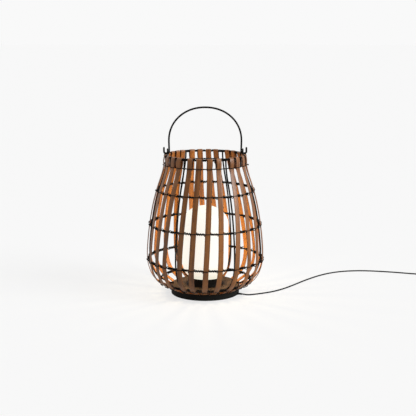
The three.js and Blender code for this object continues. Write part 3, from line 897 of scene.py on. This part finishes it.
# The free ends: each leaves its hoop outwards and curls down.
def makeTails():
    strands = []
    for azimuth, height, length, lean, sideways in twists["tails"]:
        face, _ = onFace(height * mm)
        t = np.linspace(0, 1, 30)
        reach = length * mm
        radius = face[0] + 0.8 * mm + lean * reach * 0.5 * np.sin(2.2 * t)
        drop = reach * (0.8 - 0.35 * lean) * t * t
        turnTo = math.radians(azimuth) + sideways * reach * t / face[0]
        line = around(radius, height * mm - drop, turnTo)
        strands += twistedPair(line, twists["tailPitch"], basket["bindingWire"] * 0.9)
    finishPiece(joinPieces("bindingTails", strands), bindingBlack)


makeRim()
makeRimTie()
makeRimBinding()
makeStaysForFoldShade()
makeTails()
print("rim made")


# Frame rods.

def rodLine(azimuthDegrees):
    inside = (basket["slatThickness"] + basket["hoopClear"] + basket["gap"]
              + 2 * basket["hoopWire"] + basket["rodWire"])
    atHandle = azimuthDegrees % 180 == 90
    path = [(0.097, 0.0303), (0.110, 0.0312)]
    for height in (36, 46, 62, 85, 115, 165, 220, 275, 325, 365, 395):
        face, normal = onFace(height * mm)
        path.append(tuple(face - normal * inside))
    top = basket["rimHeight"] - 5 * mm if atHandle else basket["rimHeight"] + 1 * mm
    reach = basket["rimRadius"] - basket["rimWire"] - basket["gap"] - basket["rodWire"]
    path.append((reach, top - basket["rodWire"]))
    return smoothLine(path, 8)


def makeRods():
    for index, pair in enumerate(rodAzimuths, 1):
        line = rodLine(pair[0])
        azimuth = slatAzimuthAt(pair, line[:, 1])
        points = around(line[:, 0], line[:, 1], azimuth)
        across = np.stack([np.cos(azimuth), np.sin(azimuth), 0 * azimuth], 1)
        piece = wire(f"frameRod{index}", points, across, basket["rodWire"], 12)
        finishPiece(piece, blackSteel, (f"frame_rod_{index}",))
    print("frame rods made")


makeRods()


# Bail and its eyes.

bailShape = {
    "pivot": 426.5 * mm, "leg": 106.8 * mm, "hook": 122.2 * mm, "bend": 4.6 * mm,
    "hookTop": 442.2 * mm, "wire": 2.75 * mm, "squareness": 2.08,
    "halfWidth": 107.4 * mm, "archHeight": 464 * mm, "rise": 98.2 * mm,
    "eye": 111.8 * mm, "eyeFoot": 114.6 * mm, "eyeBend": 427 * mm, "eyeWire": 2.0 * mm,
    "eyeHalfGap": 4.85 * mm, "eyeArch": 434 * mm, "eyeTurns": 1.75, "saddleHalf": 2.0 * mm,
}


# Half of the bail in the XZ plane: the hook's free end, two quarter circles through the eye, the
# leg, and a quarter of a superellipse up to the crown.
def halfBail():
    b = bailShape
    turn = np.radians(np.linspace(0, 90, 10))
    hookRise = np.linspace(b["hookTop"], b["pivot"] + b["bend"], 8)[:-1]
    hook = np.stack([np.full(7, b["hook"]), hookRise], 1)
    outer = np.stack([b["hook"] - b["bend"] + b["bend"] * np.cos(turn),
                      b["pivot"] + b["bend"] - b["bend"] * np.sin(turn)], 1)
    inner = np.stack([b["leg"] + b["bend"] - b["bend"] * np.sin(turn),
                      b["pivot"] + b["bend"] - b["bend"] * np.cos(turn)], 1)
    rise = np.linspace(0, 1, 14)[1:-1]
    low, high = b["pivot"] + b["bend"], b["archHeight"]
    drawIn = b["leg"] + (b["halfWidth"] - b["leg"]) * eased(rise)
    leg = np.stack([drawIn, low + (high - low) * rise], 1)
    arch = np.radians(np.linspace(0, 90, 46))
    power = 2 / b["squareness"]
    crown = np.stack([b["halfWidth"] * np.abs(np.cos(arch)) ** power,
                      high + b["rise"] * np.sin(arch) ** power], 1)
    crown[-1, 0] = 0
    return np.vstack([hook, outer, inner, leg, crown])


def makeBail():
    half = halfBail()
    other = half[:-1][::-1] * np.array([-1, 1])
    line = np.vstack([half, other])
    points = np.stack([line[:, 0], np.zeros(len(line)), line[:, 1]], 1)
    piece = wire("bailHandle", points, (0, 1, 0), bailShape["wire"], 14)
    finishPiece(piece, blackSteel, ("handle",), bail)


# An eye: a staple of wire, two legs and a half circle in the YZ plane, each leg's foot wound
# nearly two turns round the rim wire, away from the middle. Four turns of thin wire lie between.
def makeEye(side):
    b = bailShape
    ringX, ringZ = basket["rimRadius"], basket["rimHeight"]
    reach = basket["rimWire"] + b["eyeWire"] + 0.1 * mm
    lean = math.acos((b["eyeFoot"] - ringX) / reach)
    t = np.linspace(0, 1, 44)
    angle = lean + 2 * math.pi * b["eyeTurns"] * t
    y = b["eyeHalfGap"] + t * b["eyeTurns"] * 2 * b["eyeWire"] * 1.04
    drop = ringX - np.sqrt(ringX**2 - y**2)
    foot = np.stack([ringX - drop + reach * np.cos(angle), y, ringZ + reach * np.sin(angle)], 1)
    legTop = np.linspace(foot[0, 2] + 1.2 * mm, b["eyeArch"], 8)
    drawIn = np.clip((b["eyeBend"] - legTop) / (b["eyeBend"] - legTop[0]), 0, 1)
    legX = b["eye"] + (b["eyeFoot"] - b["eye"]) * drawIn
    leg = np.stack([legX, np.full(8, b["eyeHalfGap"]), legTop], 1)
    arch = np.radians(np.linspace(0, 180, 15))[1:-1]
    crown = np.stack([np.full(13, b["eye"]), b["eyeHalfGap"] * np.cos(arch),
                      b["eyeArch"] + b["eyeHalfGap"] * np.sin(arch)], 1)
    mirror = np.array([1, -1, 1])
    points = np.vstack([foot[::-1], leg, crown, (leg * mirror)[::-1], foot * mirror])
    reference = (points - np.array([ringX, 0, ringZ])) * np.array([1, 0, 1])
    reference[points[:, 2] > foot[0, 2] + 0.5 * mm] = np.array([-1.0, 0, 0])
    toSide = np.array([side, 1, 1])
    staple = wire("staple", points * toSide, reference * toSide, b["eyeWire"], 10)
    thin = basket["bindingWire"]
    winding = 2 * math.pi * 4 * t
    arm = np.stack([side * np.cos(winding), 0 * t, np.sin(winding)], 1)
    across = b["saddleHalf"] * (2 * t - 1)
    core = np.stack([side * ringX + 0 * t, across, ringZ + 0 * t], 1)
    saddle = wire("saddle", core + (basket["rimWire"] + thin) * arm, arm, thin, 7)
    name = "right" if side > 0 else "left"
    piece = joinPieces(f"{name}Eye", [staple, saddle])
    finishPiece(piece, blackSteel, (f"handle_eye_{name}",))


makeBail()
makeEye(1)
makeEye(-1)
print("bail and eyes made")


# Base.

baseShape = {"radius": 103 * mm, "bottom": 1.5 * mm, "top": 28 * mm, "wall": 1.8 * mm,
             "bore": 5.3 * mm, "edge": 2.4 * mm}


def makeBase():
    b = baseShape
    corners = [
        (b["bore"], b["top"]), (b["bore"], b["top"] - b["wall"]),
        (b["radius"] - b["wall"], b["top"] - b["wall"]), (b["radius"] - b["wall"], b["bottom"]),
        (b["radius"], b["bottom"]), (b["radius"], b["top"]),
    ]
    outline = roundedOutline(corners, 0.5 * mm, 4)
    edgeStart = 5 * 4
    outline[edgeStart:] = roundedOutline(corners, b["edge"], 4)[edgeStart:]
    piece = turned("baseDrum", outline, 144)
    finishPiece(piece, baseCoatWithPaintedGlow, ("base_housing",))
    for node, name, rounding, steps, material, slotName in (
        ("bottom_cover", "bottomPlate", 0.3 * mm, 3, powderBlack, "base_black"),
        ("felt_pad", "feltPad", 0.5 * mm, 4, feltBlack, "felt"),
    ):
        low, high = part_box(node)
        disc = [(0, low[2]), (high[0], low[2]), (high[0], high[2]), (0, high[2])]
        outline = roundedOutline(disc, rounding, steps, False)
        finishPiece(turned(name, outline, 128, False), material, (node,))


collarShape = {"bore": 5.3 * mm, "wall": 2.2 * mm, "floor": 2 * mm, "inset": 0.6 * mm}


# The collar that holds the diffuser: a cup with a rolled lip and a shallow bead round its foot.
def makeCollar():
    c = collarShape
    low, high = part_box("diffuser_collar")
    outer, bottom, top = high[0], low[2], high[2]
    corners = [
        (c["bore"], bottom), (outer, bottom), (outer, bottom + 3 * mm),
        (outer - c["inset"], bottom + 4 * mm), (outer - c["inset"], top - 2.4 * mm),
        (outer, top - 1.8 * mm), (outer, top), (outer - c["wall"], top),
        (outer - c["wall"], bottom + c["floor"]), (c["bore"], bottom + c["floor"]),
    ]
    piece = turned("diffuserCollar", roundedOutline(corners, 0.5 * mm, 4), 128)
    finishPiece(piece, powderBlack, ("diffuser_collar",))


# The rattan band round the base wall, behind the strips' ends: a thin ring that wanders a little
# up and down as it goes round.
def makeBand():
    low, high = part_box("base_band")
    inner, outer = 103.25 * mm, 104.7 * mm
    section = roundedOutline([
        (inner, low[2]), (outer, low[2]), (outer, high[2]), (inner, high[2]),
    ], 0.5 * mm, 4)
    azimuth = np.linspace(0, 2 * math.pi, 160, endpoint=False)
    height = section[None, :, 1] + hoopSway(azimuth, 3)[:, None]
    grid = around(section[None, :, 0], height, azimuth[:, None])
    piece = surface("baseBand", grid, True, uvScale=(0.0144, 0.65))
    paint(piece, "tone", np.full(len(piece.data.vertices), 0.85))
    finishPiece(piece, rattan, ("base_band",))


footWire = {"height": 21.4 * mm, "wave": 6.4 * mm, "swing": 2.3 * mm, "ease": 2.6 * mm}


# The wire that ties the strips' feet to the band: flat over each strip, and a wave up and down
# over the band in each gap. Its radius eases between the strip's face and the band's.
def makeFootWire():
    f, thin = footWire, basket["bindingWire"]
    face, _ = onFace(f["height"])
    over = face[0] + thin + basket["bindingClear"]
    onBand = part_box("base_band")[1][0] + thin + 0.1 * mm
    azimuth = np.linspace(0, 2 * math.pi, 2400, endpoint=False)
    strips, half = stripSpread(f["height"], 0.4 * mm)
    offset = np.abs(np.mod(azimuth[:, None] - strips + math.pi, 2 * math.pi) - math.pi).min(1)
    inGap = eased((offset - half) * face[0] / f["ease"])
    waves = round(2 * math.pi * face[0] / f["wave"])
    height = f["height"] + f["swing"] * inGap * np.sin(waves * azimuth + 2 * np.sin(3 * azimuth))
    onStrip = over + flatLift(face[0], np.minimum(offset, half))
    radius = onStrip * (1 - inGap) + onBand * inGap
    piece = wire("footWire", around(radius, height, azimuth), (0, 0, 1), thin, 8, True)
    finishPiece(piece, bindingBlack)


makeBase()
makeCollar()
makeBand()
makeFootWire()
print("base made")


# Diffuser.

diffuserShape = {"radius": 70 * mm, "neck": 49.5 * mm, "wall": 2.6 * mm, "foot": 31 * mm,
                 "shoulder": 212 * mm, "dome": 56.5 * mm}


# Outer wall: a straight neck, a smooth swell to the full radius, then a quarter ellipse to the
# top. The inner wall is the same line moved in by the wall's thickness.
def diffuserLine(inset):
    d = diffuserShape
    swell = smoothLine([
        (d["neck"], 52.5 * mm), (53.5 * mm, 57 * mm), (61.5 * mm, 67 * mm), (67 * mm, 82 * mm),
        (69.4 * mm, 105 * mm), (d["radius"], 150 * mm), (d["radius"], d["shoulder"]),
    ], 8)
    turn = np.radians(np.linspace(0, 90, 30))[1:]
    dome = np.stack([d["radius"] * np.cos(turn), d["shoulder"] + d["dome"] * np.sin(turn)], 1)
    line = np.vstack([[(d["neck"], d["foot"] + 0.4 * mm)], swell, dome])
    tangent = unit(np.gradient(line, axis=0))
    moved = line - np.stack([tangent[:, 1], -tangent[:, 0]], 1) * inset
    moved[-1, 0] = 0
    return moved


def makeDiffuser():
    outer = diffuserLine(0)
    inner = diffuserLine(diffuserShape["wall"])
    profile = np.vstack([outer[::-1], inner])
    piece = turned("opalDiffuser", profile, 128, closedProfile=False)
    finishPiece(piece, opal, ("diffuser",))
    piece.visible_shadow = False


makeDiffuser()
print("diffuser made")


# Lead fittings.

# A turned piece along a straight axis that isn't the lantern's: circles of the profile's radius,
# set square to the axis at the profile's distances.
def turnedAlong(name, profile, start, direction, segments=40):
    profile = np.asarray(profile, float)
    direction = unit(np.asarray(direction, float))
    side = unit(np.cross(direction, (0, 0, 1)))
    rise = np.cross(side, direction)
    angle = np.linspace(0, 2 * math.pi, segments, endpoint=False)
    ring = np.cos(angle)[:, None] * side + np.sin(angle)[:, None] * rise
    body = profile[1:-1]
    centre = np.asarray(start) + body[:, 1:] * direction
    grid = centre[:, None] + body[:, :1][:, None] * ring
    poles = tuple(np.asarray(start) + direction * profile[k, 1] for k in (0, -1))
    return surface(name, grid, poles=poles)


# A row of ribs, each a step out and back in, that thin or thicken evenly along the way.
def ribs(start, end, thickFrom, thickTo, count, depth):
    outline = []
    pitch = (end - start) / count
    for k in range(count):
        low, high = start + pitch * k, start + pitch * (k + 0.62)
        crest = thickFrom + (thickTo - thickFrom) * (k / count)
        outline += [(crest, low), (crest, high), (crest - depth, high + 0.02 * mm),
                    (crest - depth, low + pitch)]
    return outline


reliefShape = {
    "azimuth": 71, "height": 4.8 * mm, "start": 93 * mm, "wall": 103.4 * mm, "end": 116.7 * mm,
    "inside": 2.9 * mm, "flange": 3.7 * mm, "thick": (3.0 * mm, 2.7 * mm), "tip": 2.3 * mm,
}


def makeStrainRelief():
    r = reliefShape
    azimuth = math.radians(r["azimuth"])
    direction = (math.sin(azimuth), -math.cos(azimuth), 0)
    wall, end = r["wall"], r["end"]
    profile = [(0, r["start"]), (r["inside"], r["start"]), (r["inside"], wall),
               (r["flange"], wall + 0.1 * mm), (r["flange"], wall + 1.6 * mm)]
    profile += ribs(wall + 1.8 * mm, end - 0.7 * mm, *r["thick"], 5, 0.4 * mm)
    profile += [(r["tip"] + 0.2 * mm, end - 0.3 * mm), (r["tip"], end), (0, end)]
    profile = roundedOutline(profile, 0.35 * mm, 4, False)
    piece = turnedAlong("leadStrainRelief", profile, (0, 0, r["height"]), direction)
    return finishPiece(piece, cableBlack, ("strain_relief",))


plugShape = {
    "relief": 20 * mm, "length": 34 * mm, "centre": 7.3 * mm, "squareness": 4.2,
    "pinRadius": 2 * mm, "pinSpacing": 19 * mm, "pinLength": 19 * mm,
    "sleeveRadius": 2.12 * mm, "sleeveLength": 9.5 * mm,
    # distance from the lead's end, half width and half height, in mm
    "stations": [
        (0.0, 4.6, 4.4), (2.5, 5.6, 5.2), (7, 9.5, 6.0), (12, 14.8, 6.4), (17, 17.2, 6.5),
        (24, 17.4, 6.5), (30, 16.4, 6.5), (33, 15.0, 6.2), (33.9, 14.2, 5.6),
    ],
}


# The plug's body: sections across its length are superellipses whose width and height follow the
# moulding, narrow at the lead, flaring to the grip and easing in at the nose.
def makePlug():
    p = plugShape
    low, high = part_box("plug")
    centreX = (low[0] + high[0]) / 2
    start = low[1] + p["relief"]
    stations = smoothLine(p["stations"], 6) * mm
    across, rise = oblong(48, 2 / p["squareness"])
    grid = np.stack([
        centreX + stations[:, 1:2] * across,
        np.broadcast_to(start + stations[:, :1], (len(stations), 48)),
        p["centre"] + stations[:, 2:3] * rise,
    ], -1)
    body = surface("plugBody", grid)
    profile = [(0, 0), (2.75 * mm, 0)]
    profile += ribs(0.5 * mm, p["relief"] - 1.5 * mm, 2.9 * mm, 4.0 * mm, 7, 0.5 * mm)
    profile += [(4.2 * mm, p["relief"]), (4.2 * mm, p["relief"] + 2 * mm), (0, p["relief"] + 2 * mm)]
    relief = turnedAlong("plugRelief", roundedOutline(profile, 0.35 * mm, 4, False),
                         (centreX, low[1], p["centre"]), (0, 1, 0))
    moulded = joinPieces("mainsPlug", [body, relief])
    pieces = [finishPiece(moulded, plugBlack, ("plug",))]
    radius, length = p["pinRadius"], p["pinLength"]
    pin = [(0, -2 * mm), (radius - 0.05 * mm, -2 * mm), (radius, length - 1.4 * mm),
           (radius - 0.5 * mm, length), (0, length)]
    radius, length = p["sleeveRadius"], p["sleeveLength"]
    sleeve = [(0, -1.5 * mm), (radius, -1.5 * mm), (radius, length), (0, length)]
    for name, profile, rounding, steps, material, slotName in (
        ("plugPins", pin, 0.7 * mm, 5, plainBrass, "brass"),
        ("pinSleeves", sleeve, 0.2 * mm, 3, plugBlack, "plug_black"),
    ):
        outline = roundedOutline(profile, rounding, steps, False)
        pair = [turnedAlong("pin", outline, (centreX + side * p["pinSpacing"] / 2,
                                             start + p["length"], p["centre"]), (0, 1, 0), 24)
                for side in (-1, 1)]
        pieces.append(finishPiece(joinPieces(name, pair), material))
    return pieces


tieShape = {"inner": 14.9 * mm, "past": 0.55 * mm, "bottom": 0.35 * mm, "top": 10.2 * mm,
            "azimuth": 200, "halfWidth": 3.4 * mm, "halfThick": 0.3 * mm}


# The tie: a flat band that goes once round the coil's cross-section, an outline carried across
# the band's width.
def makeTie():
    s = tieShape
    low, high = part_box("cord_coil")
    centre = np.array([(low[0] + high[0]) / 2, (low[1] + high[1]) / 2, 0])
    outer = (high[0] - low[0]) / 2 + s["past"]
    outline = roundedOutline([(s["inner"], s["bottom"]), (outer, s["bottom"]), (outer, s["top"]),
                              (s["inner"], s["top"])], 2.4 * mm, 7)
    tangent = unit(np.roll(outline, -1, 0) - np.roll(outline, 1, 0))
    normal = np.stack([tangent[:, 1], -tangent[:, 0]], 1)
    w, h = s["halfWidth"], s["halfThick"]
    section = roundedOutline([(-w, -h), (w, -h), (w, h), (-w, h)], 0.25 * mm, 3)
    plane = outline[:, None] + normal[:, None] * section[None, :, 1:]
    width = np.broadcast_to(section[None, :, 0], plane.shape[:2])
    azimuth = math.radians(s["azimuth"])
    direction = np.array([math.cos(azimuth), math.sin(azimuth), 0])
    side = np.array([-math.sin(azimuth), math.cos(azimuth), 0])
    grid = (centre + plane[..., :1] * direction + width[..., None] * side
            + plane[..., 1:] * np.array([0, 0, 1.0]))
    return finishPiece(surface("coilTie", grid, True), plugBlack, ("coil_tie",))


strainRelief = makeStrainRelief()
plugPieces = makePlug()
coilTie = makeTie()
mainsLead.data.materials.append(cableBlack)
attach(mainsLead, lantern)
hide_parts("cord_lead", "cord_coil")
print("lead, plug and tie made")


# What stays from the frame, inside the base and the diffuser.

innerLooks = {
    "ballast_weight": castIron, "threaded_nipple": plainBrass, "lampholder": plugBlack,
    "bulb_cap": capMetal, "bulb_globe": bulbOpal, "inner_lead": cableBlack,
}
for nodeName, material in innerLooks.items():
    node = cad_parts[nodeName]
    node.data.materials.clear()
    node.data.materials.append(material)
print("inner pieces painted")


# Floor and lights.

studio = {
    "backdrop": 0.947, "floorReach": 60, "floorShade": 0.2, "floorGlow": 0.701, "floorBounce": 0.34,
    "skyFront": 0.31, "skyBack": 0.95, "skyTop": 0.35, "skyFrom": -0.7, "skyTo": 0.5,
    "sun": 2.8, "sunAzimuth": 67, "sunHeight": 28, "sunSpread": 32,
    "lampPower": 2.7, "lampColour": (1.0, 0.84, 0.55), "lampHeights": (0.07, 0.105, 0.14),
    "lampRadius": 0.055,
}


# The floor is a plain pale sheet that glows a little of its own, as a lit table does.
def makeFloor():
    mesh = bpy.data.meshes.new("studioFloor")
    r, shade = studio["floorReach"], studio["floorShade"]
    mesh.from_pydata([(-r, -r, 0), (r, -r, 0), (r, r, 0), (-r, r, 0)], [], [(0, 1, 2, 3)])
    floor = bpy.data.objects.new("studioFloor", mesh)
    bpy.context.collection.objects.link(floor)
    material, tree, shader = newMaterial("paleFloor")
    for name, value in (
        ("Base Color", (shade, shade, shade, 1)), ("Roughness", 0.95), ("Specular IOR Level", 0.0),
        ("Emission Color", (1, 1, 1, 1)),
    ):
        shader.inputs[name].default_value = value
    seen = addNode(tree, "LightPath", "Is Camera Ray")
    glow = mapped(tree, seen, studio["floorBounce"], studio["floorGlow"])
    feed(tree, shader.inputs["Emission Strength"], glow)
    mesh.materials.append(material)


# The backdrop is one pale tone; as a light it is bright behind, beside and above the lantern and
# dim in front of it, by the direction's Y and a share of its Z.
def makeSky():
    world = bpy.data.worlds.new("studioSky")
    bpy.context.scene.world = world
    world.use_nodes = True
    tree = world.node_tree
    split = addNode(tree, "SeparateXYZ", "Y", {"Vector": addNode(tree, "TexCoord", "Generated")})
    lift = tree.nodes.new("ShaderNodeMath")
    lift.operation = "MULTIPLY_ADD"
    for index, value in enumerate((split.node.outputs["Z"], studio["skyTop"], split)):
        feed(tree, lift.inputs[index], value)
    light = mapped(tree, lift.outputs["Value"], studio["skyFront"], studio["skyBack"],
                   studio["skyFrom"], studio["skyTo"])
    light.node.interpolation_type = "SMOOTHSTEP"
    seen = addNode(tree, "LightPath", "Is Camera Ray")
    tone = addNode(tree, "Mix", "Result", {"Factor": seen, "A": light, "B": studio["backdrop"]})
    feed(tree, tree.nodes["Background"].inputs["Color"], tone)
    tree.nodes["Background"].inputs["Strength"].default_value = 1.0


def makeLights():
    data = bpy.data.lights.new("softSun", "SUN")
    data.energy = studio["sun"]
    data.angle = math.radians(studio["sunSpread"])
    sun = bpy.data.objects.new("softSun", data)
    sun.rotation_euler = (math.radians(90 - studio["sunHeight"]), 0,
                          math.radians(studio["sunAzimuth"]))
    bpy.context.collection.objects.link(sun)
    for height in studio["lampHeights"]:
        lamp = bpy.data.lights.new("lampLight", "POINT")
        lamp.energy = studio["lampPower"]
        lamp.color = studio["lampColour"]
        lamp.shadow_soft_size = studio["lampRadius"]
        light = bpy.data.objects.new("lampLight", lamp)
        light.location = (0, 0, height)
        light.visible_camera = False
        light.visible_glossy = False
        bpy.context.collection.objects.link(light)


makeFloor()
makeSky()
makeLights()
bpy.context.scene.view_settings.view_transform = "Standard"
print("studio made")
